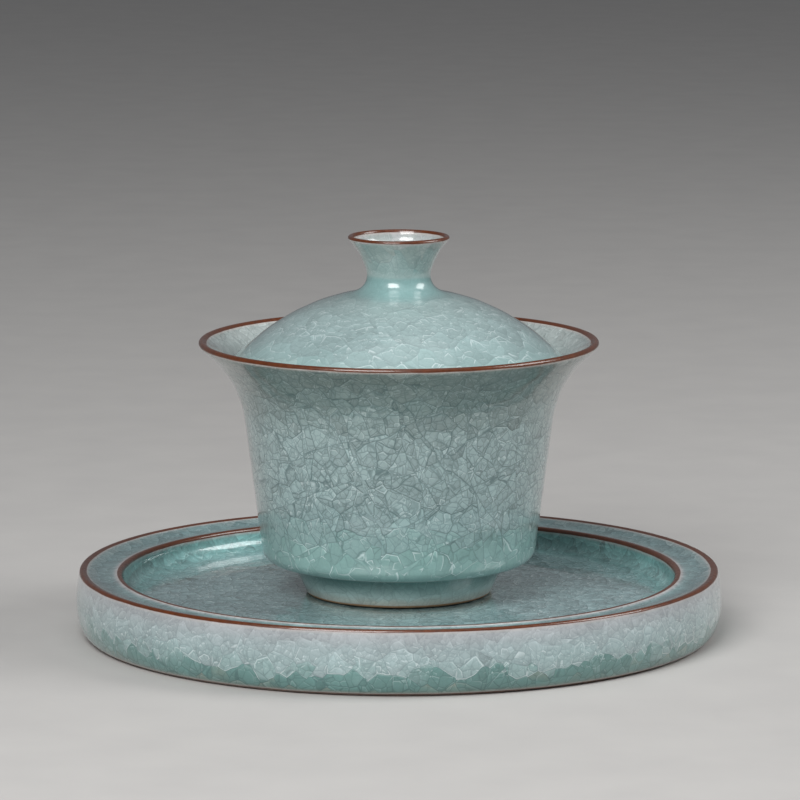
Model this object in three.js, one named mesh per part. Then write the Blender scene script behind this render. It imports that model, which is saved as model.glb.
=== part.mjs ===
// A lidded tea bowl on a wide saucer (a gaiwan), in glazed stoneware.
//
// Millimetres, +Z up. The origin is at the centre of the saucer's base. Three loose pieces share
// one axis: the saucer stands on its foot ring, the bowl stands in the saucer's shallow well, and
// the lid sits inside the bowl's flared lip.

import * as THREE from 'three';

// ---- Saucer ----
const saucerLipRadius = 80.2; // outside of the rounded lip
const saucerHeight = 16.5; // table to the crest of the lip
const saucerBulge = 0.9; // how far the side swells past the lip
const saucerLipWidth = 1.5; // thickness of the rounded lip bead
const saucerTurnWidth = 4.1; // rounding where the side turns under to the foot, across
const saucerTurnHeight = 8; // and the height of that rounding
const saucerFootWidth = 6; // flat ring that stands on the table
const ledgeWidth = 10; // shallow border, from the lip's outside to the crest of the inner arris
const ledgeFall = 1; // lip crest down to the crest of the arris
const ledgeSlope = 16; // in degrees, down from the lip and up to the arris, so the ledge is dished
const ledgeEase = 3.5; // how far those two slopes reach into the ledge
const arrisRadius = 0.9; // rounding of the arris
const wellDepth = 5.6; // arris down to the floor of the well
const wellFillet = 3.6; // rounding between the well's wall and its floor, where the wall has room
const saucerFloor = 6.2; // thickness of clay under the well

// ---- Bowl ----
const bowlHeight = 64; // foot to the crest of the lip
const bowlLipRadius = 50; // outside of the lip
const bodyRadius = 34.4; // outside of the straight body, where it starts above the lower corner
const bodyTaper = 0.13; // growth in radius per millimetre of height
const flareHeight = 24; // how far below the lip the flare begins
const flarePower = 2.85; // how sharply the flare turns outwards
const bowlWall = 2.4; // thickness of the body's wall
const bowlLipWidth = 1.7; // thickness of the rounded lip
const bowlCorner = 3.6; // rounding of the lower corner outside
const bowlFloor = 3.4; // thickness of clay under the tea
const undersideSlope = 0.1; // fall of the underside towards the foot
const footHeight = 8.1; // height of the foot ring
const footRadius = 23.3; // outside of the foot ring where it stands
const footFlare = 3.3; // the foot ring is wider by this at its top
const footWidth = 3; // width of the foot ring
const footRecess = 3.5; // depth of the hollow inside the foot ring
const recessDraft = 1.6; // the hollow is narrower by this at its top
const footChamfer = 0.5; // bevels of the ring where it stands

// ---- Lid ----
const lidSeatDepth = 5.8; // lip crest of the bowl down to the lid's resting edge
const lidWall = 2.2; // thickness of the dome
const domeRise = 18.4; // height of the dome over its edge, before the neck is added
const domePower = 2.3; // 2 is a parabola, and more is fuller at the shoulder
const neckRadius = 7.95; // waist between the dome and the knob
const neckBlend = 6; // the dome starts turning up into the neck this far outside the waist
const neckHeight = 3.5; // top of the dome to the waist
const neckCornerRise = 1; // how far the neck's inner corner lies above the start of its blend
const knobRadius = 12.75; // outside of the knob's rim
const knobHeight = 13.5; // top of the dome to the crest of the knob
const knobLipWidth = 1.4; // thickness of the knob's rounded rim
const knobCupDepth = 7.2; // depth of the hollow in the knob
// The knob opens slowly above its waist, then faster, and stands nearly upright at its rim.
// Each pair is a share of the growth in radius and of the rise from waist to rim.
const knobShape = [[0, 0], [0.04, 0.14], [0.17, 0.32], [0.46, 0.64], [0.82, 0.88], [1, 1]];

// ---- Fits ----
const restGap = 0.3; // space kept between two pieces that rest on each other

// ---- Fineness ----
const segments = 60; // sides around the axis
const wallSteps = 10; // steps along a long curve
const flareCrowding = 0.7; // less than 1 puts more of the bowl's steps in the flare
const cornerSteps = 4; // steps round a corner
const lipSteps = 6; // steps round a lip
const ledgeSteps = 8; // steps across the saucer's ledge

const point = (radius, height) => new THREE.Vector2(radius, height);
const { degToRad, lerp, radToDeg } = THREE.MathUtils;

// Points of an arc about a centre, from one angle to another in degrees, both ends included.
// It is part of an upright oval where its height differs from its radius.
function arc(centre, radius, from, to, steps = cornerSteps, height = radius) {
  return Array.from({ length: steps + 1 }, (_, i) => {
    const angle = degToRad(from + ((to - from) * i) / steps);
    return point(centre.x + radius * Math.cos(angle), centre.y + height * Math.sin(angle));
  });
}

// Points of a curve given by a formula of one value, from a to b.
function along(formula, a, b, steps = wallSteps) {
  return Array.from({ length: steps + 1 }, (_, i) => formula(a + ((b - a) * i) / steps));
}

// Unit vector at an angle in degrees.
const towards = (angle) => point(Math.cos(degToRad(angle)), Math.sin(degToRad(angle)));

// Unit vector at a right angle to a curve, on the left as the value grows.
function leftOf(formula, value) {
  const step = 0.01;
  const direction = formula(value + step).sub(formula(value - step)).normalize();
  return point(-direction.y, direction.x);
}

// A closed solid of revolution. The profile starts and ends on the axis.
function turned(name, profile, look) {
  const geometry = new THREE.LatheGeometry(profile, segments);
  geometry.rotateX(Math.PI / 2);
  const mesh = new THREE.Mesh(geometry, new THREE.MeshStandardMaterial(look));
  mesh.name = name;
  return mesh;
}

// ---- Saucer: foot ring, rounded side, lip, dished ledge and shallow well ----
const saucerWellFloor = saucerHeight - ledgeFall - wellDepth;
const saucerUnderside = saucerWellFloor - saucerFloor;

function saucerProfile() {
  const sideRadius = saucerLipRadius + saucerBulge;
  const footOuter = sideRadius - saucerTurnWidth;
  const footInner = footOuter - saucerFootWidth;
  const turnCentre = point(footOuter, saucerTurnHeight);
  const bead = saucerLipWidth / 2;
  const beadCentre = point(saucerLipRadius - bead, saucerHeight - bead);
  const arrisCentre = point(saucerLipRadius - ledgeWidth, saucerHeight - ledgeFall - arrisRadius);
  const lip = arc(beadCentre, bead, 0, 90 + ledgeSlope, lipSteps);
  const arris = arc(arrisCentre, arrisRadius, 90 - ledgeSlope, 180, lipSteps);
  const ledge = new THREE.CubicBezierCurve(
    lip.at(-1),
    lip.at(-1).clone().addScaledVector(towards(180 + ledgeSlope), ledgeEase),
    arris[0].clone().addScaledVector(towards(-ledgeSlope), ledgeEase),
    arris[0],
  );
  const fillet = Math.min(wellFillet, wellDepth - arrisRadius);
  const wellCentre = point(arrisCentre.x - arrisRadius - fillet, saucerWellFloor + fillet);
  // The side swells from the foot to its widest and draws in again to the lip.
  const swell = (height) => {
    const rise = (height - saucerTurnHeight) / (beadCentre.y - saucerTurnHeight);
    return point(sideRadius - saucerBulge * rise * rise, height);
  };
  return [
    point(0, saucerUnderside),
    point(footInner - saucerUnderside, saucerUnderside),
    point(footInner, 0),
    point(footOuter, 0),
    ...arc(turnCentre, saucerTurnWidth, -90, 0, cornerSteps + 1, saucerTurnHeight).slice(1),
    ...along(swell, saucerTurnHeight, beadCentre.y, cornerSteps).slice(1),
    ...lip.slice(1),
    ...ledge.getPoints(ledgeSteps).slice(1, -1),
    ...arris,
    ...arc(wellCentre, fillet, 0, -90),
    point(0, saucerWellFloor),
  ];
}

// ---- Bowl: foot ring, rounded corner, tapering body and flared lip ----
const bowlBase = saucerWellFloor + restGap;
const bowlCrest = bowlBase + bowlHeight;
const underside = bowlBase + footHeight;
const cornerHeight = underside + bowlCorner;
const lipBead = bowlLipWidth / 2;
const lipCentre = point(bowlLipRadius - lipBead, bowlCrest - lipBead);
const flareStart = bowlCrest - flareHeight;

// How far a height is up the flare, from 0 where it begins to 1 at the centre of the lip.
const flareRise = (height) => Math.max(0, (height - flareStart) / (lipCentre.y - flareStart));

// The middle of the bowl's wall at a height.
function bowlMiddle(height) {
  const straight = (at) => bodyRadius - bowlWall / 2 + bodyTaper * (at - cornerHeight);
  const flare = lipCentre.x - straight(lipCentre.y);
  return point(straight(height) + flare * flareRise(height) ** flarePower, height);
}

// A face of the wall beside a point of its middle: side is -1 outside and 1 inside. The wall
// thins up the flare to the thickness of the lip.
function bowlFace(height, side) {
  const thickness = lerp(bowlWall, bowlLipWidth, Math.min(1, flareRise(height)));
  return bowlMiddle(height).addScaledVector(leftOf(bowlMiddle, height), (side * thickness) / 2);
}
const bowlInside = (height) => bowlFace(height, 1);

// Points of one face from one height up to the lip, closer together where the flare turns out.
function bowlWallPoints(side, from) {
  const height = (share) => lerp(from, lipCentre.y, share ** flareCrowding);
  return along((share) => bowlFace(height(share), side), 0, 1);
}

function bowlProfile() {
  const lipTurn = radToDeg(leftOf(bowlMiddle, lipCentre.y).angle()) - 180;
  const footTop = footRadius + footFlare;
  const recessRadius = footRadius - footWidth;
  const corner = point(bodyRadius - bowlCorner, cornerHeight);
  const floorTop = underside + bowlFloor;
  const innerCorner = bowlCorner + bowlWall; // a soft bottom corner inside
  const innerStart = floorTop + innerCorner;
  const innerFoot = bowlInside(innerStart);
  return [
    point(0, bowlBase + footRecess),
    point(recessRadius - recessDraft, bowlBase + footRecess),
    point(recessRadius, bowlBase + footChamfer),
    point(recessRadius + footChamfer, bowlBase),
    point(footRadius - footChamfer, bowlBase),
    point(footRadius, bowlBase + footChamfer),
    point(footTop, underside - (corner.x - footTop) * undersideSlope),
    ...arc(corner, bowlCorner, -90, 0),
    ...bowlWallPoints(-1, cornerHeight).slice(1),
    ...arc(lipCentre, lipBead, lipTurn, lipTurn + 180, lipSteps).slice(1, -1),
    ...bowlWallPoints(1, innerStart).reverse(),
    ...arc(point(innerFoot.x - innerCorner, innerStart), innerCorner, 0, -90).slice(1),
    point(0, floorTop),
  ];
}

// ---- Lid: dome with a rounded edge, waisted neck and cupped knob ----
const lidEdge = bowlCrest - lidSeatDepth; // height of the centre of the lid's edge
const edgeBead = lidWall / 2;

// The lid's edge rests against the inside of the flare, a gap away from it: the widest radius at
// which the rounded edge clears the wall, found by halving.
function seatRadius() {
  const fineSteps = 200;
  const halvings = 30;
  const wall = along(bowlInside, flareStart, lipCentre.y, fineSteps);
  const room = edgeBead + restGap;
  const clears = (radius) => wall.every((p) => p.distanceTo(point(radius, lidEdge)) >= room);
  let clear = 0;
  let touching = bowlLipRadius;
  for (let i = 0; i < halvings; i += 1) {
    const middle = (clear + touching) / 2;
    if (clears(middle)) clear = middle;
    else touching = middle;
  }
  return clear;
}

const edgeRadius = seatRadius(); // centre of the lid's rounded edge
const domeTop = lidEdge + domeRise;

// The middle of the dome's wall at a radius, and its two faces.
function domeMiddle(radius) {
  const fall = (Math.abs(radius) / edgeRadius) ** domePower;
  return point(radius, lidEdge + (domeRise - edgeBead) * (1 - fall));
}
function domeFace(radius, side) {
  return domeMiddle(radius).addScaledVector(leftOf(domeMiddle, radius), side * edgeBead);
}
const domeInside = (radius) => domeFace(radius, -1);
const domeOutside = (radius) => domeFace(radius, 1);

function lidProfile() {
  const edge = domeMiddle(edgeRadius);
  const edgeTurn = radToDeg(leftOf(domeMiddle, edgeRadius).angle());
  const shoulder = domeOutside(neckRadius + neckBlend);
  const waist = point(neckRadius, domeTop + neckHeight);
  const neckCorner = point(neckRadius, shoulder.y + neckCornerRise);
  const neck = new THREE.QuadraticBezierCurve(shoulder, neckCorner, waist);
  const knobCrest = domeTop + knobHeight;
  const bead = knobLipWidth / 2;
  const beadCentre = point(knobRadius - bead, knobCrest - bead);
  const rim = point(knobRadius, beadCentre.y);
  const knob = new THREE.SplineCurve(
    knobShape.map(([out, up]) => point(lerp(waist.x, rim.x, out), lerp(waist.y, rim.y, up))),
  );
  const cupRadius = beadCentre.x - bead;
  const cupFall = knobCupDepth - bead;
  const cup = (turn) => point(cupRadius * Math.cos(turn), beadCentre.y - cupFall * Math.sin(turn));
  return [
    ...along(domeInside, 0, edgeRadius),
    ...arc(edge, edgeBead, edgeTurn - 180, edgeTurn, lipSteps).slice(1, -1),
    ...along(domeOutside, edgeRadius, neckRadius + neckBlend),
    ...neck.getPoints(lipSteps).slice(1),
    ...knob.getPoints(wallSteps).slice(1),
    ...arc(beadCentre, bead, 0, 180, lipSteps).slice(1),
    ...along(cup, 0, Math.PI / 2, lipSteps).slice(1),
  ];
}

const glaze = { roughness: 0.16, metalness: 0 };
const group = new THREE.Group();
group.add(
  turned('saucer', saucerProfile(), { ...glaze, color: 0x9cb8b6 }),
  turned('bowl', bowlProfile(), { ...glaze, color: 0x93b3b0 }),
  turned('lid', lidProfile(), { ...glaze, color: 0x9fbfba }),
);

export default group;
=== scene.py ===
import math

import bpy
import numpy as np
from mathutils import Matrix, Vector


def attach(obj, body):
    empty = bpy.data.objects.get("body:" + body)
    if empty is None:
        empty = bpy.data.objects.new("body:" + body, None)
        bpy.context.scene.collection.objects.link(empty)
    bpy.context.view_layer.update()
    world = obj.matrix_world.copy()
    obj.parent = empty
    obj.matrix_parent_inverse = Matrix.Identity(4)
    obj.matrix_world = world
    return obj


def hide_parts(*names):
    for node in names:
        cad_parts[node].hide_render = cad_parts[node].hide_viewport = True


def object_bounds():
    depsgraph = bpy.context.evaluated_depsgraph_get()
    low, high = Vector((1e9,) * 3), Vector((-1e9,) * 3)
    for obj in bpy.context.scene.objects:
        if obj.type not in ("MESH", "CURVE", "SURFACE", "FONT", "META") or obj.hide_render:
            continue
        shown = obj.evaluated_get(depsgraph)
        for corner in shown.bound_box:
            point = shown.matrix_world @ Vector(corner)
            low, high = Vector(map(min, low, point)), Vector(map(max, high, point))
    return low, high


# The looks of a gaiwan: a crackled celadon saucer, bowl and lid with iron-brown lips. Each piece
# is turned afresh from the outline of its CAD solid, finely and with a potter's slight unevenness.
# Lengths in the frame are metres. Outlines and materials count in millimetres.

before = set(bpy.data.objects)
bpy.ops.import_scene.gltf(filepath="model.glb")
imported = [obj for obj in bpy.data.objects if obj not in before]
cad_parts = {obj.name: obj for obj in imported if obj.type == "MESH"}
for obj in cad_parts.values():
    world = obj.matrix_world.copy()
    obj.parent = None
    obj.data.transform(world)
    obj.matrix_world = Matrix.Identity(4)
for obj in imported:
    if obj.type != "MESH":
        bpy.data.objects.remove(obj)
cad_box = [list(corner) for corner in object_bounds()]

MM = 0.001
MICRON = 1e-6

# ---- Camera ----
VIEW_PITCH = math.radians(9.05)  # the camera looks down by this
VIEW_DISTANCE = 1.275
VIEW_HEIGHT = 0.5855  # where it looks, as a share of the object's height
VIEW_SIDE = 0.0003  # how far to the right of the middle it looks
LENS = 229.3
SENSOR = 36
FARTHEST_SEEN = 50

# ---- Turning ----
SIDES = 320  # round the axis
HARD_TURN = math.radians(35)  # an outline's sharper turns are corners
FINE_STEP = 0.05  # of the curve that is softened and then thinned out
SOFTENING = 0.22  # how far a corner is rounded
SOFTENING_REACH = 4  # softenings to either side, beyond which a point has no weight
LONG_RUN = 3  # a straight this many times as long as its neighbour gets a guide near it
GUIDE_PLACE = 1.5  # of the neighbour's length, from the point that they share
TURNING_SPREAD = 9  # points over which a turn is spread before the outline is thinned
TURN_STEP = math.radians(6)  # the final outline turns at most about this from point to point
LONGEST_STEP = 1.8

# ---- Unevenness ----
RING_DEPTH, RING_PITCH, RING_SLANT = 0.028, 1.15, 0.6  # the marks of the potter's fingers
OVAL_DEPTH = 0.03  # how far out of round
LOBE_DEPTH, LOBE_TWIST = 0.018, 21  # three faint lobes, and how slowly they wind up the wall
STEADY_RADIUS = 12  # nearer the axis, the unevenness fades out


def tone(red, green, blue):
    """A colour given as it shows on a screen, 0 to 255, as the shaders need it."""
    def linear(value):
        share = value / 255
        return share / 12.92 if share <= 0.04045 else ((share + 0.055) / 1.055) ** 2.4
    return (linear(red), linear(green), linear(blue), 1)


# ---- Outlines ----
def section(node):
    """The outline of a turned CAD node as rows of (radius, height), from the lower point on the
    axis, out round the outside and back along the inside to the upper one."""
    mesh = node.data
    places = {}
    for vertex in mesh.vertices:
        x, y, z = vertex.co
        if abs(y) < MICRON and x > -MICRON:
            places[vertex.index] = (round(x / MICRON), round(z / MICRON))
    beside = {}
    for edge in mesh.edges:
        ends = [places.get(index) for index in edge.vertices]
        if None not in ends and ends[0] != ends[1]:
            beside.setdefault(ends[0], set()).add(ends[1])
            beside.setdefault(ends[1], set()).add(ends[0])
    path = [min((place for place in beside if place[0] == 0), key=lambda place: place[1])]
    while True:
        onward = [place for place in beside[path[-1]] if place not in path[-2:]]
        if not onward:
            break
        path.append(onward[0])
    return np.array(path, float) * MICRON / MM


def turns(points):
    """How far the outline turns at each of its inner points."""
    step = np.diff(points, axis=0)
    heading = np.unwrap(np.arctan2(step[:, 1], step[:, 0]))
    return np.abs(np.diff(heading))


def with_guides(points):
    """The points, and more of them where a long straight meets a short step, so that a curve
    through them stays straight along the long one."""
    length = np.linalg.norm(np.diff(points, axis=0), axis=1)
    rows = [points[0]]
    for i in range(len(length)):
        a, b = points[i], points[i + 1]
        before = length[i - 1] if i else length[i]
        after = length[i + 1] if i + 1 < len(length) else length[i]
        if length[i] > LONG_RUN * before:
            rows.append(a + (b - a) * GUIDE_PLACE * before / length[i])
        if length[i] > LONG_RUN * after:
            rows.append(b - (b - a) * GUIDE_PLACE * after / length[i])
        rows.append(b)
    return np.array(rows)


def curve_through(points):
    """A smooth curve through the points, as a row of close points: a centripetal Catmull-Rom."""
    centripetal = 0.5
    first = 2 * points[0] - points[1]
    last = 2 * points[-1] - points[-2]
    p = np.vstack([first, points, last])
    rows = [points[:1]]
    for p0, p1, p2, p3 in zip(p, p[1:], p[2:], p[3:]):
        t0 = 0
        t1 = t0 + np.linalg.norm(p1 - p0) ** centripetal
        t2 = t1 + np.linalg.norm(p2 - p1) ** centripetal
        t3 = t2 + np.linalg.norm(p3 - p2) ** centripetal
        count = max(2, int(np.linalg.norm(p2 - p1) / FINE_STEP))
        t = np.linspace(t1, t2, count + 1)[1:, None]
        a1 = (t1 - t) / (t1 - t0) * p0 + (t - t0) / (t1 - t0) * p1
        a2 = (t2 - t) / (t2 - t1) * p1 + (t - t1) / (t2 - t1) * p2
        a3 = (t3 - t) / (t3 - t2) * p2 + (t - t2) / (t3 - t2) * p3
        b1 = (t2 - t) / (t2 - t0) * a1 + (t - t0) / (t2 - t0) * a2
        b2 = (t3 - t) / (t3 - t1) * a2 + (t - t1) / (t3 - t1) * a3
        rows.append((t2 - t) / (t2 - t1) * b1 + (t - t1) / (t2 - t1) * b2)
    return np.vstack(rows)


def distances(points):
    """How far along the outline each point lies."""
    return np.concatenate([[0], np.cumsum(np.linalg.norm(np.diff(points, axis=0), axis=1))])


def evenly(points, step):
    """The same outline with its points a step apart."""
    along = distances(points)
    wanted = np.linspace(0, along[-1], int(along[-1] / step) + 1)
    return np.column_stack([np.interp(wanted, along, points[:, k]) for k in (0, 1)])


def softened(points):
    """The evenly spaced outline with its corners rounded, still ending on the axis."""
    reach = int(SOFTENING_REACH * SOFTENING / FINE_STEP)
    weight = np.exp(-0.5 * (np.arange(-reach, reach + 1) * FINE_STEP / SOFTENING) ** 2)
    weight /= weight.sum()
    mirror = np.array([-1, 1])
    before = points[1:reach + 1][::-1] * mirror
    after = points[-reach - 1:-1][::-1] * mirror
    padded = np.vstack([before, points, after])
    soft = np.column_stack([np.convolve(padded[:, k], weight, "valid") for k in (0, 1)])
    soft[[0, -1], 0] = 0
    return soft


def thinned(points):
    """The outline with only the points that its shape needs: close where it turns."""
    along = distances(points)
    spread = np.ones(TURNING_SPREAD) / TURNING_SPREAD
    turning = np.convolve(np.concatenate([[0], turns(points), [0]]), spread, "same")
    steps = np.diff(along) / LONGEST_STEP + (turning[1:] + turning[:-1]) / 2 / TURN_STEP
    worth = np.concatenate([[0], np.cumsum(steps)])
    wanted = np.linspace(0, worth[-1], int(worth[-1]) + 1)
    at = np.interp(wanted, worth, along)
    return np.column_stack([np.interp(at, along, points[:, k]) for k in (0, 1)])


def outline_of(node_name):
    """The fine outline that a piece is turned from, rows of (radius, height) in millimetres."""
    points = section(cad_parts[node_name])
    corners = [i + 1 for i, turn in enumerate(turns(points)) if turn > HARD_TURN]
    ends = [0, *corners, len(points) - 1]
    runs = [curve_through(with_guides(points[a:b + 1])) for a, b in zip(ends, ends[1:])]
    joined = np.vstack([runs[0], *(run[1:] for run in runs[1:])])
    return thinned(softened(evenly(joined, FINE_STEP)))


# ---- Turned meshes ----
def unevenness(along, angle, seed):
    """How far a hand-turned wall stands off its outline: faint rings and a faint wandering."""
    rings = RING_DEPTH * np.sin(along / RING_PITCH + RING_SLANT * np.sin(angle + seed))
    oval = OVAL_DEPTH * np.sin(2 * angle + seed)
    lobes = LOBE_DEPTH * np.sin(3 * angle + along / LOBE_TWIST + 2 * seed)
    return rings + (oval + lobes)


def turned(name, outline, seed):
    """A closed mesh turned from an outline, with each point's distance along it, in millimetres,
    and the direction in which that distance grows."""
    along = distances(outline)
    heading = np.gradient(outline, along, axis=0)
    heading /= np.linalg.norm(heading, axis=1)[:, None]
    angle = np.arange(SIDES) * 2 * math.pi / SIDES
    cos, sin = np.cos(angle), np.sin(angle)
    inner = slice(1, -1)
    off = unevenness(along[inner, None], angle[None, :], seed)
    off *= np.clip(outline[inner, 0] / STEADY_RADIUS, 0, 1)[:, None]
    radius = outline[inner, 0, None] + off * heading[inner, 1, None]
    height = outline[inner, 1, None] - off * heading[inner, 0, None]
    rings = np.stack([radius * cos, radius * sin, height * np.ones(SIDES)], axis=-1)
    low, high = (0, 0, outline[0, 1]), (0, 0, outline[-1, 1])
    places = np.vstack([rings.reshape(-1, 3), [low, high]]) * MM

    count = len(outline) - 2
    index = np.arange(count * SIDES).reshape(count, SIDES)
    beside = np.roll(index, -1, axis=1)
    quads = np.stack([index[:-1], beside[:-1], beside[1:], index[1:]], axis=-1).reshape(-1, 4)
    low_index, high_index = count * SIDES, count * SIDES + 1
    faces = quads.tolist()
    faces += [(low_index, b, a) for a, b in zip(index[0].tolist(), beside[0].tolist())]
    faces += [(high_index, a, b) for a, b in zip(index[-1].tolist(), beside[-1].tolist())]

    mesh = bpy.data.meshes.new(name)
    mesh.from_pydata(places.tolist(), [], faces)
    mesh.polygons.foreach_set("use_smooth", [True] * len(faces))
    run = np.stack([heading[inner, 0, None] * cos, heading[inner, 0, None] * sin,
                    heading[inner, 1, None] * np.ones(SIDES)], axis=-1).reshape(-1, 3)
    run = np.vstack([run, [(1, 0, 0), (-1, 0, 0)]])
    far = np.concatenate([np.repeat(along[inner], SIDES), along[[0, -1]]])
    mesh.attributes.new("along", "FLOAT", "POINT").data.foreach_set("value", far)
    mesh.attributes.new("run", "FLOAT_VECTOR", "POINT").data.foreach_set("vector", run.ravel())
    piece = bpy.data.objects.new(name, mesh)
    bpy.context.scene.collection.objects.link(piece)
    return piece


# ---- Shader nodes ----
class Nodes:
    """Short calls that add nodes to one material. An input is a number, a tuple or a socket."""

    def __init__(self, name):
        self.material = bpy.data.materials.new(name)
        self.material.use_nodes = True
        self.tree = self.material.node_tree
        self.tree.nodes.clear()

    def add(self, kind, inputs, **settings):
        node = self.tree.nodes.new("ShaderNode" + kind)
        for key, value in settings.items():
            setattr(node, key, value)
        for key, value in inputs.items():
            if isinstance(value, bpy.types.NodeSocket):
                self.tree.links.new(value, node.inputs[key])
            else:
                node.inputs[key].default_value = value
        return node

    def math(self, operation, *values):
        return self.add("Math", dict(enumerate(values)), operation=operation).outputs[0]

    def times(self, *values):
        product = values[0]
        for value in values[1:]:
            product = self.math("MULTIPLY", product, value)
        return product

    def sum(self, *values):
        total = values[0]
        for value in values[1:]:
            total = self.math("ADD", total, value)
        return total

    def centred(self, share):
        """A share from 0 to 1, moved to run from -0.5 to 0.5."""
        return self.math("SUBTRACT", share, 0.5)

    def vector(self, operation, *values, **named):
        inputs = {**dict(enumerate(values)), **named}
        node = self.add("VectorMath", inputs, operation=operation)
        return node.outputs["Value" if operation in ("DOT_PRODUCT", "LENGTH") else "Vector"]

    def centred_colour(self, colour):
        """A colour as a direction, with middle grey at nought."""
        return self.vector("SUBTRACT", colour, (0.5, 0.5, 0.5))

    def smooth(self, value, low, high):
        """0 below low and 1 above high, or the other way about where low is the greater."""
        inputs = {"Value": value, "From Min": low, "From Max": high}
        return self.add("MapRange", inputs, interpolation_type="SMOOTHSTEP").outputs[0]

    def mix(self, share, a, b):
        inputs = {"Factor": share, 6: a, 7: b}
        return self.add("Mix", inputs, data_type="RGBA").outputs[2]

    def stops(self, value, span, rows):
        """A node whose colour follows a value through rows of (value, colour), 0 to span."""
        node = self.add("ValToRGB", {"Fac": self.math("DIVIDE", value, span)})
        elements = node.color_ramp.elements
        for i, (place, colour) in enumerate(rows):
            if i < 2:
                element = elements[i]
                element.position = place / span
            else:
                element = elements.new(place / span)
            element.color = colour
        return node

    def noise(self, place, size, detail=2):
        """A noise texture's outputs, its lumps about size across."""
        inputs = {"Vector": place, "Scale": 1 / size, "Detail": detail}
        return self.add("TexNoise", inputs).outputs


# ---- Glaze ----
CRACK = tone(38, 74, 76)
# Painted glint on the cells' edges, standing in for lamp light that the crack planes inside the
# glaze reflect
EDGE_GLINT = tone(232, 242, 243)
IRON = tone(104, 46, 0)
IRON_DARK = tone(56, 22, 0)
THIN_GLAZE = tone(196, 182, 176)  # the pale halo beside an iron line
BEIGE = tone(178, 168, 152)  # glaze so thin that the clay warms it
CLAY = tone(176, 140, 108)
CLAY_DARK = tone(138, 104, 76)

# A pair says where a share is 0 and where it is 1. Lengths are millimetres.
SLOW_SIZE, SLOW_BEND = 11, 3.2  # the noise that bends the cells, and how far it bends them
QUICK_SIZE, QUICK_BEND = 2.2, 0.3
CELL_SHIFT = 60  # sends each cell's own smaller cracks to another part of the pattern

CLIMB_LINE = (0.22, 0.05)  # distance from the middle of a long crack
CLIMB_DARKNESS = 0.72
CLIMB_FADE_SIZE, CLIMB_FADE = 14, (0.25, 0.5)
CLIMB_WANDER = 1.1  # pitches by which a long crack strays
CLIMB_WANDER_SIZE, CLIMB_WANDER_DETAIL = 24, 1.2
CLIMB_SHIFT = 40.0  # between the wanderings of one family and the next
CLIMB_LEAST_RADIUS = 6.0  # nearer the axis, the long cracks get thinner
PATCH_CONTRAST = 0.10  # between the patches that the long cracks bound

# For the largest cells, and by how much less with each generation
CRACK_WIDTH, CRACK_NARROWING = 0.15, 0.025
CRACK_DEPTH, CRACK_PALING = 0.9, 0.18
FACET_CONTRAST, FACET_PALING = 0.13, 0.015

FINENESS_STEP = 0.34  # of fineness, for each generation after the first to come in
CRACK_LINE = (1.35, 0.4)  # distance from the middle of a crack, in widths
CRACK_FADE = (-0.45, 0.75)  # the random share that a crack's darkness follows
FACET_REACH, FACET_REACH_SHARE, FACET_FULL = 0.5, 0.1, 0.08  # painted shade from the crack inwards
FACET_SLOPE = 1.1
EDGE_OUTER = (0.36, 0.14)  # painted glint: distances from the crack between which a bright edge lies
EDGE_INNER = (0.02, 0.14)
EDGE_SIDE = (0.12, 0.45)  # only on the side that the cell leans to
EDGE_CHOICE = (0.25, 0.85)  # and only on some of the cells

RAGGEDNESS = 0.25  # how unevenly the colours follow the cells, in cell sizes
# The hems: painted glints on the lower edges of the largest cells along a seam
HEM_LINE = (0.21, 0.06)
HEM_SIDE = (-0.05, -0.25)  # on the lower side, in cell sizes
HEM_CHOICE = (-0.3, 0.6)
HEM_BLUR, HEM_BRIGHTNESS = 0.4, 0.48

# How strongly the cells' random tones and painted light and shade show
CELL_TONE_AND_SHADE_CONTRAST = 2.0
CLOUD_SIZE, CLOUD_DETAIL, CLOUD_CONTRAST = 19, 3, 0.30
SPECKLE_SIZE, SPECKLE_DETAIL, SPECKLE_CONTRAST = 0.5, 1, 0.20

LINE_WAVER = 0.4  # how far the iron lines leave their places
LINE_BLUR = 0.12
HALO_WIDTH, HALO_SHARE = 0.45, 0.42
RUST_SIZE, RUST_DETAIL = 1.3, 3
WARM_SPREAD, WARM_SHARE = 1.7, 0.7  # the beige of thin glaze, in its half widths
WARM_QUICK_SHARE, WARM_STREAKS = 0.6, (0.62, 0.98)
CLAY_BLUR = 0.15
CLAY_SIZE, CLAY_DETAIL = 0.7, 4

ROUGHNESS, CRACK_ROUGHNESS, CLAY_ROUGHNESS = 0.30, 0.15, 0.5
GLAZE_IOR = 1.5
COAT_IOR, COAT_ROUGHNESS = 1.46, 0.05
IRON_DULLNESS = 0.4  # how much of the coat the iron lines lack
RIPPLE_SIZE, RIPPLE_STRENGTH, RIPPLE_DEPTH = 3.2, 0.10, 0.6 * MM


def generation(n, place, size):
    """One generation of crackle, its cells about size across. Gives each cell's random colour,
    the way from the cell's middle to the place, and how far the nearest crack is."""
    inputs = {"Vector": place, "Scale": 1 / size}
    cell = n.add("TexVoronoi", inputs, feature="F1")
    edge = n.add("TexVoronoi", inputs, feature="DISTANCE_TO_EDGE")
    way = n.vector("SUBTRACT", place, cell.outputs["Position"])
    return cell.outputs["Color"], way, n.math("MULTIPLY", edge.outputs["Distance"], size)


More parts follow.
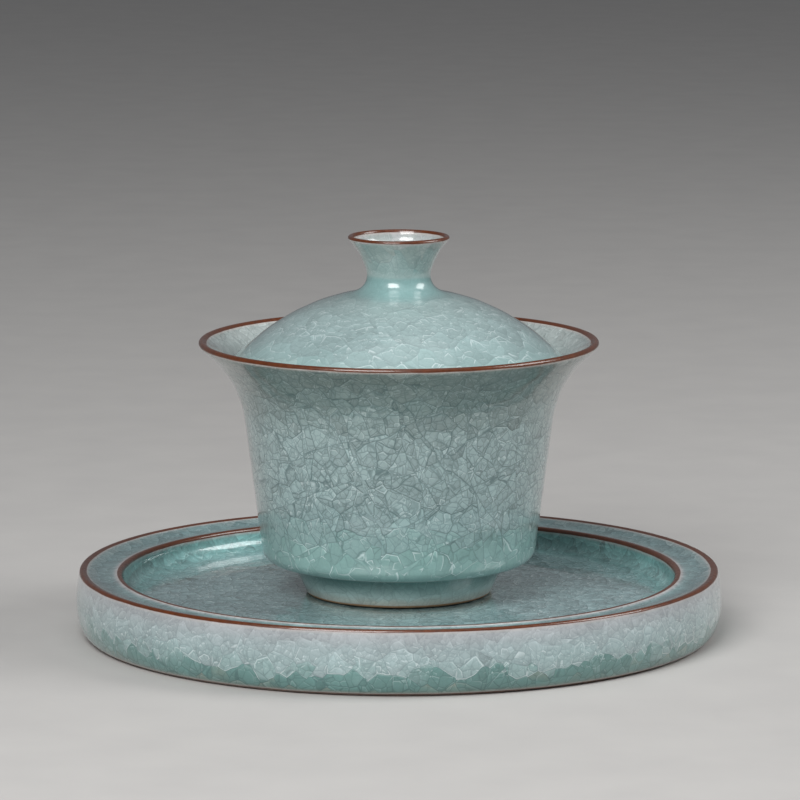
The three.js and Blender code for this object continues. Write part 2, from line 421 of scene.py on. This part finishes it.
def climbing_cracks(n, place, along, rounds, pitch, shift):
    """A family of long cracks that climb round the piece, as many as rounds, each a pitch above
    the last. Gives the number of the band between two of them, and how far the nearest one is."""
    x, y, _ = n.add("SeparateXYZ", {0: place}).outputs
    turn = n.math("DIVIDE", n.math("ARCTAN2", y, x), 2 * math.pi)
    radius = n.vector("LENGTH", n.vector("MULTIPLY", place, (1, 1, 0)))
    radius = n.math("MAXIMUM", radius, CLIMB_LEAST_RADIUS)
    elsewhere = n.vector("ADD", place, (shift, 0, 0))
    wander = n.noise(elsewhere, CLIMB_WANDER_SIZE, CLIMB_WANDER_DETAIL)["Fac"]
    phase = n.sum(n.times(turn, rounds), n.math("DIVIDE", along, pitch),
                  n.times(wander, CLIMB_WANDER))
    off = n.math("ABSOLUTE", n.math("SUBTRACT", phase, n.math("ROUND", phase)))
    sideways = n.math("POWER", n.math("DIVIDE", rounds / (2 * math.pi), radius), 2.0)
    steepness = n.math("SQRT", n.sum(sideways, pitch ** -2))
    return n.math("FLOOR", phase), n.math("DIVIDE", off, steepness)


def long_cracks(n, place, along, climbs):
    """How dark the long cracks make a place, and a random value and a random colour for each
    patch that they bound."""
    dark = 0.0
    bands = []
    fade = n.smooth(n.noise(place, CLIMB_FADE_SIZE)["Fac"], *CLIMB_FADE)
    for number, (rounds, pitch) in enumerate(climbs):
        band, gap = climbing_cracks(n, place, along, rounds, pitch, CLIMB_SHIFT * number)
        bands.append(band)
        line = n.times(n.smooth(gap, *CLIMB_LINE), fade, CLIMB_DARKNESS)
        dark = n.math("MAXIMUM", dark, line)
    mark = n.add("CombineXYZ", dict(enumerate(bands))).outputs[0]
    patch = n.add("TexWhiteNoise", {"Vector": mark}, noise_dimensions="3D").outputs
    return dark, patch["Value"], patch["Color"]


def crackle(n, where, run, fineness, sizes, lift, dark, light):
    """The generations of cells. Gives dark and light with the cracks' darkness and the cells'
    random tones and painted light and shade added, the painted glints on the cells' edges, and
    of the largest cells the random shares, the way from the middle and the distance from the
    crack."""
    shine = 0.0
    largest = None
    for order, size in enumerate(sizes):
        colour, way, gap = generation(n, where, size)
        where = n.vector("ADD", where, n.vector("SCALE", colour, Scale=CELL_SHIFT))
        shares = n.add("SeparateColor", {"Color": colour}).outputs
        largest = largest or (shares, way, gap)
        present = 1.0
        if order:
            present = n.smooth(fineness, FINENESS_STEP * (order - 1), FINENESS_STEP * order)
        # Each cell leans partly along the outline, so that its painted light falls on that side
        lean = n.vector("ADD", n.vector("SCALE", run, Scale=lift), n.centred_colour(colour))
        lean = n.vector("NORMALIZE", lean)
        side = n.math("DIVIDE", n.vector("DOT_PRODUCT", way, lean), size)

        width = CRACK_WIDTH - CRACK_NARROWING * order
        line = n.smooth(gap, *(share * width for share in CRACK_LINE))
        fade = n.smooth(shares["Blue"], *CRACK_FADE)
        depth = CRACK_DEPTH - CRACK_PALING * order
        dark = n.math("MAXIMUM", dark, n.times(line, present, fade, depth))

        edge = n.times(n.smooth(gap, *EDGE_OUTER), n.smooth(gap, *EDGE_INNER),
                       n.smooth(side, *EDGE_SIDE), present)
        chosen = n.smooth(shares["Green"], *EDGE_CHOICE)
        shine = n.math("MAXIMUM", shine, n.times(edge, chosen))

        # Painted shade of a tilted facet: lighter on the side the cell leans to and near its
        # cracks, over the cell's random tone
        near = n.smooth(gap, FACET_REACH + FACET_REACH_SHARE * size, FACET_FULL)
        facet = n.sum(n.centred(shares["Red"]), n.times(side, near, FACET_SLOPE))
        contrast = FACET_CONTRAST - FACET_PALING * order
        light = n.sum(light, n.times(facet, present, contrast))
    return dark, light, shine, largest


def hems(n, along, run, follow, size, cells):
    """The distance along the outline as it is where the colours follow the largest cells, and
    how much of a place is a cell's lower edge, where a painted glint lies."""
    shares, way, gap = cells
    up = n.vector("DOT_PRODUCT", way, run)
    ragged = n.times(n.centred(shares["Green"]), size * RAGGEDNESS)
    jagged = n.sum(along, n.times(n.math("SUBTRACT", ragged, up), follow))
    below = n.smooth(up, *(share * size for share in HEM_SIDE))
    chosen = n.smooth(shares["Blue"], *HEM_CHOICE)
    return jagged, n.times(n.smooth(gap, *HEM_LINE), below, chosen)


def band_mask(n, value, bands, blur):
    """1 where the value lies in one of the bands, rows of (middle, half width), and 0 outside."""
    mask = 0.0
    for middle, half in bands:
        off = n.math("ABSOLUTE", n.math("SUBTRACT", value, middle))
        mask = n.math("MAXIMUM", mask, n.smooth(off, half + blur, half - blur))
    return mask


def glaze(name, span, colours, traits, cell_tone_and_shade, sizes, climbs, lift, seam, lips, thin, bare):
    """Crackled celadon. colours and traits are rows of (distance along the outline, colour). A
    trait's red is the darkness of the cracks, its green the brightness of the painted glints on
    the cells' edges, its blue the share of fine crackle, and its alpha how far the colours follow
    the cells' edges. relief is rows of (distance, strength of the cells' random tones and painted
    light and shade), sizes are those of the cells, and climbs the (rounds, pitch) of each family
    of long cracks. lift is how much the cells lean the same way along the outline, which puts
    their painted light and glints on that side. The others are lists of (distance, half width):
    seam, where cells end in painted glints on their lower edges, lips, the iron lines, thin, beige
    thin glaze, and bare, unglazed clay."""
    n = Nodes(name)
    along = n.add("Attribute", {}, attribute_name="along").outputs["Fac"]
    run = n.add("Attribute", {}, attribute_name="run").outputs["Vector"]
    position = n.add("TexCoord", {}).outputs["Object"]
    place = n.vector("SCALE", position, Scale=1 / MM)
    slow = n.noise(place, SLOW_SIZE)
    quick = n.noise(place, QUICK_SIZE)
    drift = n.vector("SCALE", n.centred_colour(slow["Color"]), Scale=SLOW_BEND)
    shiver = n.vector("SCALE", n.centred_colour(quick["Color"]), Scale=QUICK_BEND)
    bent = n.vector("ADD", n.vector("ADD", place, drift), shiver)

    character = n.stops(along, span, traits)
    split = n.add("SeparateColor", {"Color": character.outputs["Color"]}).outputs
    darkness, brightness, fineness = split["Red"], split["Green"], split["Blue"]
    grey = [(distance, (share, share, share, 1)) for distance, share in cell_tone_and_shade]
    strength = n.stops(along, span, grey).outputs["Color"]

    dark, tint, scatter = long_cracks(n, place, along, climbs)
    light = n.times(n.centred(tint), PATCH_CONTRAST)
    where = n.vector("ADD", bent, n.vector("SCALE", scatter, Scale=CELL_SHIFT))
    dark, light, shine, cells = crackle(n, where, run, fineness, sizes, lift, dark, light)
    jagged, hem = hems(n, along, run, character.outputs["Alpha"], sizes[0], cells)

    body = n.stops(jagged, span, colours).outputs["Color"]
    cloud = n.centred(n.noise(place, CLOUD_SIZE, CLOUD_DETAIL)["Fac"])
    speckle = n.centred(n.noise(place, SPECKLE_SIZE, SPECKLE_DETAIL)["Fac"])
    value = n.sum(1.0, n.times(light, strength, CELL_TONE_AND_SHADE_CONTRAST),
                  n.times(cloud, CLOUD_CONTRAST), n.times(speckle, SPECKLE_CONTRAST))
    body = n.vector("SCALE", body, Scale=value)
    body = n.mix(n.times(dark, darkness), body, CRACK)
    # Painted glints on the cells' edges, and on the hems along the seams
    hem = n.times(hem, band_mask(n, jagged, seam, HEM_BLUR), HEM_BRIGHTNESS)
    body = n.mix(n.math("MAXIMUM", n.times(shine, brightness), hem), body, EDGE_GLINT)

    wavering = n.sum(along, n.times(n.centred(slow["Fac"]), LINE_WAVER))
    streaks = n.sum(slow["Fac"], n.times(quick["Fac"], WARM_QUICK_SHARE))
    warm = 0.0
    for middle, half in thin:
        off = n.math("ABSOLUTE", n.math("SUBTRACT", wavering, middle))
        warm = n.math("MAXIMUM", warm, n.smooth(off, WARM_SPREAD * half, 0.0))
    warm = n.times(warm, n.smooth(streaks, *WARM_STREAKS))
    body = n.mix(n.times(warm, WARM_SHARE), body, BEIGE)

    wider = [(middle, half + HALO_WIDTH) for middle, half in lips]
    halo = band_mask(n, wavering, wider, HALO_WIDTH)
    body = n.mix(n.times(halo, HALO_SHARE), body, THIN_GLAZE)
    lip = band_mask(n, wavering, lips, LINE_BLUR)
    rust = n.mix(n.noise(place, RUST_SIZE, RUST_DETAIL)["Fac"], IRON_DARK, IRON)
    body = n.mix(lip, body, rust)

    raw = band_mask(n, wavering, bare, CLAY_BLUR)
    grit = n.mix(n.noise(place, CLAY_SIZE, CLAY_DETAIL)["Fac"], CLAY_DARK, CLAY)
    body = n.mix(raw, body, grit)

    ripple = n.add("Bump", {"Height": n.noise(place, RIPPLE_SIZE)["Fac"],
                            "Strength": RIPPLE_STRENGTH, "Distance": RIPPLE_DEPTH})
    satin = n.sum(ROUGHNESS, n.times(dark, CRACK_ROUGHNESS), n.times(raw, CLAY_ROUGHNESS))
    dull = n.math("MAXIMUM", raw, n.times(lip, IRON_DULLNESS))
    shader = n.add("BsdfPrincipled", {
        "Base Color": body, "Roughness": satin, "IOR": GLAZE_IOR,
        "Coat Weight": n.math("SUBTRACT", 1.0, dull), "Coat Roughness": COAT_ROUGHNESS,
        "Coat IOR": COAT_IOR, "Coat Normal": ripple.outputs[0]})
    n.add("OutputMaterial", {"Surface": shader.outputs[0]})
    return n.material


# ---- Places along an outline ----
def best(outline, score, among):
    """How far along the outline the point lies that scores highest among some of them."""
    radius, height = outline[:, 0], outline[:, 1]
    scores = np.where(among(radius, height), score(radius, height), -np.inf)
    return float(distances(outline)[int(np.argmax(scores))])


def dress(name, node, material, outline, seed):
    """Turns a piece, gives it its glaze, and puts it in place of its CAD node."""
    piece = turned(name, outline, seed)
    piece.data.materials.append(material)
    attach(piece, node)
    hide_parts(node)
    return piece


def make_saucer():
    outline = outline_of("saucer")
    span = distances(outline)[-1]
    top = outline[:, 1].max()
    floor = outline[-1, 1]
    ground = 0.15  # what lies below this stands on the table
    foot = best(outline, lambda r, z: r, lambda r, z: z < ground)
    widest = best(outline, lambda r, z: r, lambda r, z: z > 0)
    lip = best(outline, lambda r, z: z, lambda r, z: z > 0)
    arris = best(outline, lambda r, z: z - r, lambda r, z: z > (top + floor) / 2)
    turn = widest - 3.2  # the pale glaze ends here, and the teal below it begins
    colours = [
        (0, tone(150, 174, 172)),
        (foot - 7, tone(140, 168, 166)),
        (foot + 1.0, tone(132, 138, 126)),
        (foot + 2.6, tone(96, 136, 132)),
        (turn - 0.4, tone(98, 136, 132)),
        (turn + 0.4, tone(138, 164, 163)),
        (widest, tone(146, 166, 167)),
        (widest + 3.4, tone(152, 166, 168)),
        (lip - 2, tone(160, 164, 167)),
        (lip + 1.6, tone(130, 150, 150)),
        (lip + 4, tone(108, 136, 138)),
        (arris - 2.6, tone(120, 148, 149)),
        (arris - 1.4, tone(180, 182, 184)),
        (arris + 1.5, tone(112, 158, 156)),
        (arris + 6, tone(122, 164, 163)),
        (arris + 12, tone(134, 160, 162)),
        (span, tone(132, 160, 161)),
    ]
    traits = [
        (0, (0.5, 0.2, 0.6, 1)),
        (foot + 2, (0.5, 0.1, 0.3, 0)),
        (turn - 2, (0.5, 0.12, 0.4, 1)),
        (turn + 2, (0.34, 0.45, 0.6, 1)),
        (widest, (0.30, 0.40, 0.7, 0.4)),
        (widest + 3, (0.22, 0.28, 0.9, 0.2)),
        (lip - 2.5, (0.08, 0.1, 1.0, 0)),
        (lip + 3, (0.35, 0.2, 0.7, 0.5)),
        (arris - 2, (0.1, 0.1, 0.7, 0)),
        (arris + 3, (0.1, 0.1, 0.7, 0)),
        (arris + 12, (0.5, 0.45, 0.7, 1)),
        (span, (0.5, 0.45, 0.7, 1)),
    ]
    # How strongly the cells' random tones and painted light and shade show along the outline
    cell_tone_and_shade = [(0, 0.5), (lip - 3, 0.5), (lip, 0.3), (lip + 4, 0.9), (arris + 10, 1), (span, 1)]
    material = glaze(
        "saucer_glaze", span, colours, traits, cell_tone_and_shade, sizes=(4.6, 2.6, 1.5),
        climbs=[(17, 30), (-23, 46)], lift=0.7, seam=[(turn + 1.6, 1.5)],
        lips=[(lip, 1.1), (arris - 0.25, 1.0), (foot + 1.0, 0.35)],
        thin=[], bare=[(foot - 3, 3.4)])
    return dress("saucer_ware", "saucer", material, outline, 1)


def make_bowl():
    outline = outline_of("bowl")
    span = distances(outline)[-1]
    top = outline[:, 1].max()
    low = outline[:, 1].min()
    ground = low + 0.1  # what lies below this stands on the saucer
    foot_top = low + 7
    foot = best(outline, lambda r, z: r, lambda r, z: z < ground)
    lip = best(outline, lambda r, z: z, lambda r, z: z > 0)
    corner = best(outline, lambda r, z: r - z, lambda r, z: z > foot_top)
    flare = lip - 26  # the wall starts to turn outwards here
    colours = [
        (0, tone(150, 174, 172)),
        (foot - 2, tone(140, 160, 158)),
        (foot + 1.0, tone(182, 184, 174)),
        # The foot pales towards the saucer and darkens at its top: painted shade under the
        # overhanging body, over teal glaze
        (foot + 3.2, tone(178, 200, 197)),
        (foot + 7.5, tone(84, 124, 120)),
        (corner - 2.6, tone(108, 148, 142)),
        (corner - 1.2, tone(128, 162, 157)),
        (corner + 5, tone(138, 170, 166)),
        (corner + 14, tone(146, 168, 168)),
        (flare, tone(142, 162, 162)),
        # Greyer and darker up under the flaring lip: painted shade and painted reflection of the
        # dark surroundings, over a slightly greyer glaze
        (flare + 10, tone(128, 146, 144)),
        (lip - 2.5, tone(124, 134, 128)),
        (lip + 2.5, tone(166, 174, 172)),
        (lip + 16, tone(156, 174, 172)),
        (lip + 50, tone(140, 172, 168)),
        (span, tone(126, 166, 160)),
    ]
    traits = [
        (0, (0.4, 0.2, 0.6, 1)),
        (foot + 6, (0.2, 0.05, 0.5, 0)),
        (corner - 2, (0.1, 0.2, 0.2, 0)),
        (corner + 2, (0.15, 0.8, 0.2, 1)),
        (corner + 9, (0.55, 0.4, 0.5, 1)),
        (corner + 18, (0.72, 0.32, 0.7, 1)),
        (flare + 6, (0.72, 0.25, 0.9, 1)),
        (lip - 3, (0.55, 0.2, 1.0, 0.6)),
        (lip + 4, (0.25, 0.15, 0.8, 0.4)),
        (span, (0.5, 0.2, 0.4, 1)),
    ]
    # How strongly the cells' random tones and painted light and shade show along the outline
    cell_tone_and_shade = [(0, 0.4), (corner - 2, 0.3), (corner + 6, 0.55), (flare, 0.6), (span, 0.4)]
    material = glaze(
        "bowl_glaze", span, colours, traits, cell_tone_and_shade, sizes=(5.4, 2.9, 1.6),
        climbs=[(11, 26), (-7, 12), (16, 60)], lift=0.35, seam=[(corner + 3.4, 1.6)],
        lips=[(lip - 0.05, 1.4)], thin=[(corner - 1.9, 0.45)], bare=[(foot - 0.9, 1.7)])
    return dress("bowl_ware", "bowl", material, outline, 2)


def make_lid():
    outline = outline_of("lid")
    span = distances(outline)[-1]
    top = outline[:, 1].max()
    edge = best(outline, lambda r, z: r, lambda r, z: z > 0)
    rim = best(outline, lambda r, z: z, lambda r, z: z > 0)
    neck = (top - 14, top - 6)
    cup_radius = 7.5  # the cup in the knob is no wider than this beside the neck
    waist = best(outline, lambda r, z: -r,
                 lambda r, z: (z > neck[0]) & (z < neck[1]) & (r > cup_radius))
    colours = [
        (0, tone(138, 164, 160)),
        (edge - 3, tone(148, 166, 164)),
        (edge + 1.5, tone(150, 168, 166)),
        (edge + 4, tone(140, 166, 165)),
        (edge + 14, tone(143, 164, 164)),
        (waist - 11, tone(143, 163, 162)),
        (waist - 5, tone(124, 156, 155)),
        (waist - 0.4, tone(120, 154, 153)),
        (waist + 0.6, tone(140, 163, 161)),
        (waist + 6, tone(142, 163, 161)),
        (rim - 2, tone(154, 164, 160)),
        (rim + 2, tone(176, 178, 178)),
        (span, tone(156, 170, 170)),
    ]
    traits = [
        (0, (0.4, 0.2, 0.6, 1)),
        (edge + 3, (0.10, 0.42, 0.3, 1)),
        (edge + 16, (0.10, 0.34, 0.6, 1)),
        (waist - 12, (0.10, 0.25, 0.9, 1)),
        (waist - 7, (0.04, 0.06, 0.4, 0)),
        (waist - 2, (0.02, 0.04, 0.2, 0)),
        (waist + 0.5, (0.1, 0.1, 0.6, 0)),
        (waist + 4, (0.25, 0.15, 0.9, 1)),
        (span, (0.1, 0.1, 0.9, 1)),
    ]
    # How strongly the cells' random tones and painted light and shade show along the outline
    cell_tone_and_shade = [(0, 0.4), (edge + 2, 0.5), (waist - 10, 0.4), (waist - 5, 0.12), (span, 0.4)]
    material = glaze(
        "lid_glaze", span, colours, traits, cell_tone_and_shade, sizes=(5.2, 3.0, 1.7),
        climbs=[(9, 34)], lift=1.4, seam=[],
        lips=[(rim, 1.1), (edge, 0.7)], thin=[], bare=[])
    return dress("lid_ware", "lid", material, outline, 3)


# ---- Studio ----
SKY_COLOUR = (0.40, 0.41, 0.43, 1)
SKY_STRENGTH = 0.4
FLOOR_HALF = 6.0
FLOOR_DARK, FLOOR_LIGHT = tone(176, 174, 172), tone(186, 184, 181)
FLOOR_MOTTLE, FLOOR_DETAIL = 0.02, 3
FLOOR_ROUGHNESS = 0.75
LAMPS = [  # name, azimuth, elevation, distance, width, height, power
    ("key_light", -22, 37, 1.2, 0.68, 0.64, 15),
    ("side_light", 88, 35, 1.2, 0.60, 0.60, 8),
    ("top_light", 10, 84, 1.3, 1.0, 1.0, 2),
]


def sky():
    world = bpy.data.worlds.new("studio")
    bpy.context.scene.world = world
    world.use_nodes = True
    background = world.node_tree.nodes["Background"]
    background.inputs["Color"].default_value = SKY_COLOUR
    background.inputs["Strength"].default_value = SKY_STRENGTH


def floor():
    half = FLOOR_HALF
    mesh = bpy.data.meshes.new("floor")
    square = [(-half, -half, 0), (half, -half, 0), (half, half, 0), (-half, half, 0)]
    mesh.from_pydata(square, [], [(0, 1, 2, 3)])
    slab = bpy.data.objects.new("floor", mesh)
    bpy.context.scene.collection.objects.link(slab)
    n = Nodes("pale_floor")
    place = n.add("TexCoord", {}).outputs["Object"]
    mottle = n.noise(place, FLOOR_MOTTLE, FLOOR_DETAIL)["Fac"]
    colour = n.mix(mottle, FLOOR_DARK, FLOOR_LIGHT)
    shader = n.add("BsdfPrincipled", {"Base Color": colour, "Roughness": FLOOR_ROUGHNESS})
    n.add("OutputMaterial", {"Surface": shader.outputs[0]})
    mesh.materials.append(n.material)


def softbox(name, azimuth, elevation, distance, width, height, power, aim):
    """An area light that faces the object. Azimuth 0 is on the camera's side, and grows to the
    right."""
    across, up = math.radians(azimuth), math.radians(elevation)
    way = Vector((math.sin(across) * math.cos(up), -math.cos(across) * math.cos(up), math.sin(up)))
    lamp = bpy.data.lights.new(name, "AREA")
    lamp.shape = "RECTANGLE"
    lamp.size, lamp.size_y = width, height
    lamp.energy = power
    holder = bpy.data.objects.new(name, lamp)
    bpy.context.scene.collection.objects.link(holder)
    holder.location = aim + way * distance
    holder.rotation_euler = (-way).to_track_quat("-Z", "Y").to_euler()
    holder.visible_camera = False


def camera(low, high):
    middle = (low + high) / 2
    aim = Vector((middle.x + VIEW_SIDE, middle.y, low.z + (high.z - low.z) * VIEW_HEIGHT))
    back = Vector((0, -math.cos(VIEW_PITCH), math.sin(VIEW_PITCH))) * VIEW_DISTANCE
    lens = bpy.data.cameras.new("camera")
    lens.lens = LENS
    lens.sensor_width = SENSOR
    lens.clip_end = FARTHEST_SEEN
    holder = bpy.data.objects.new("camera", lens)
    bpy.context.scene.collection.objects.link(holder)
    holder.location = aim + back
    holder.rotation_euler = (-back).to_track_quat("-Z", "Y").to_euler()
    bpy.context.scene.camera = holder
    return aim


low, high = (Vector(corner) for corner in cad_box)
aim = camera(low, high)
bpy.context.scene.view_settings.view_transform = "Standard"
make_saucer()
make_bowl()
make_lid()
sky()
floor()
for lamp in LAMPS:
    softbox(*lamp, aim)
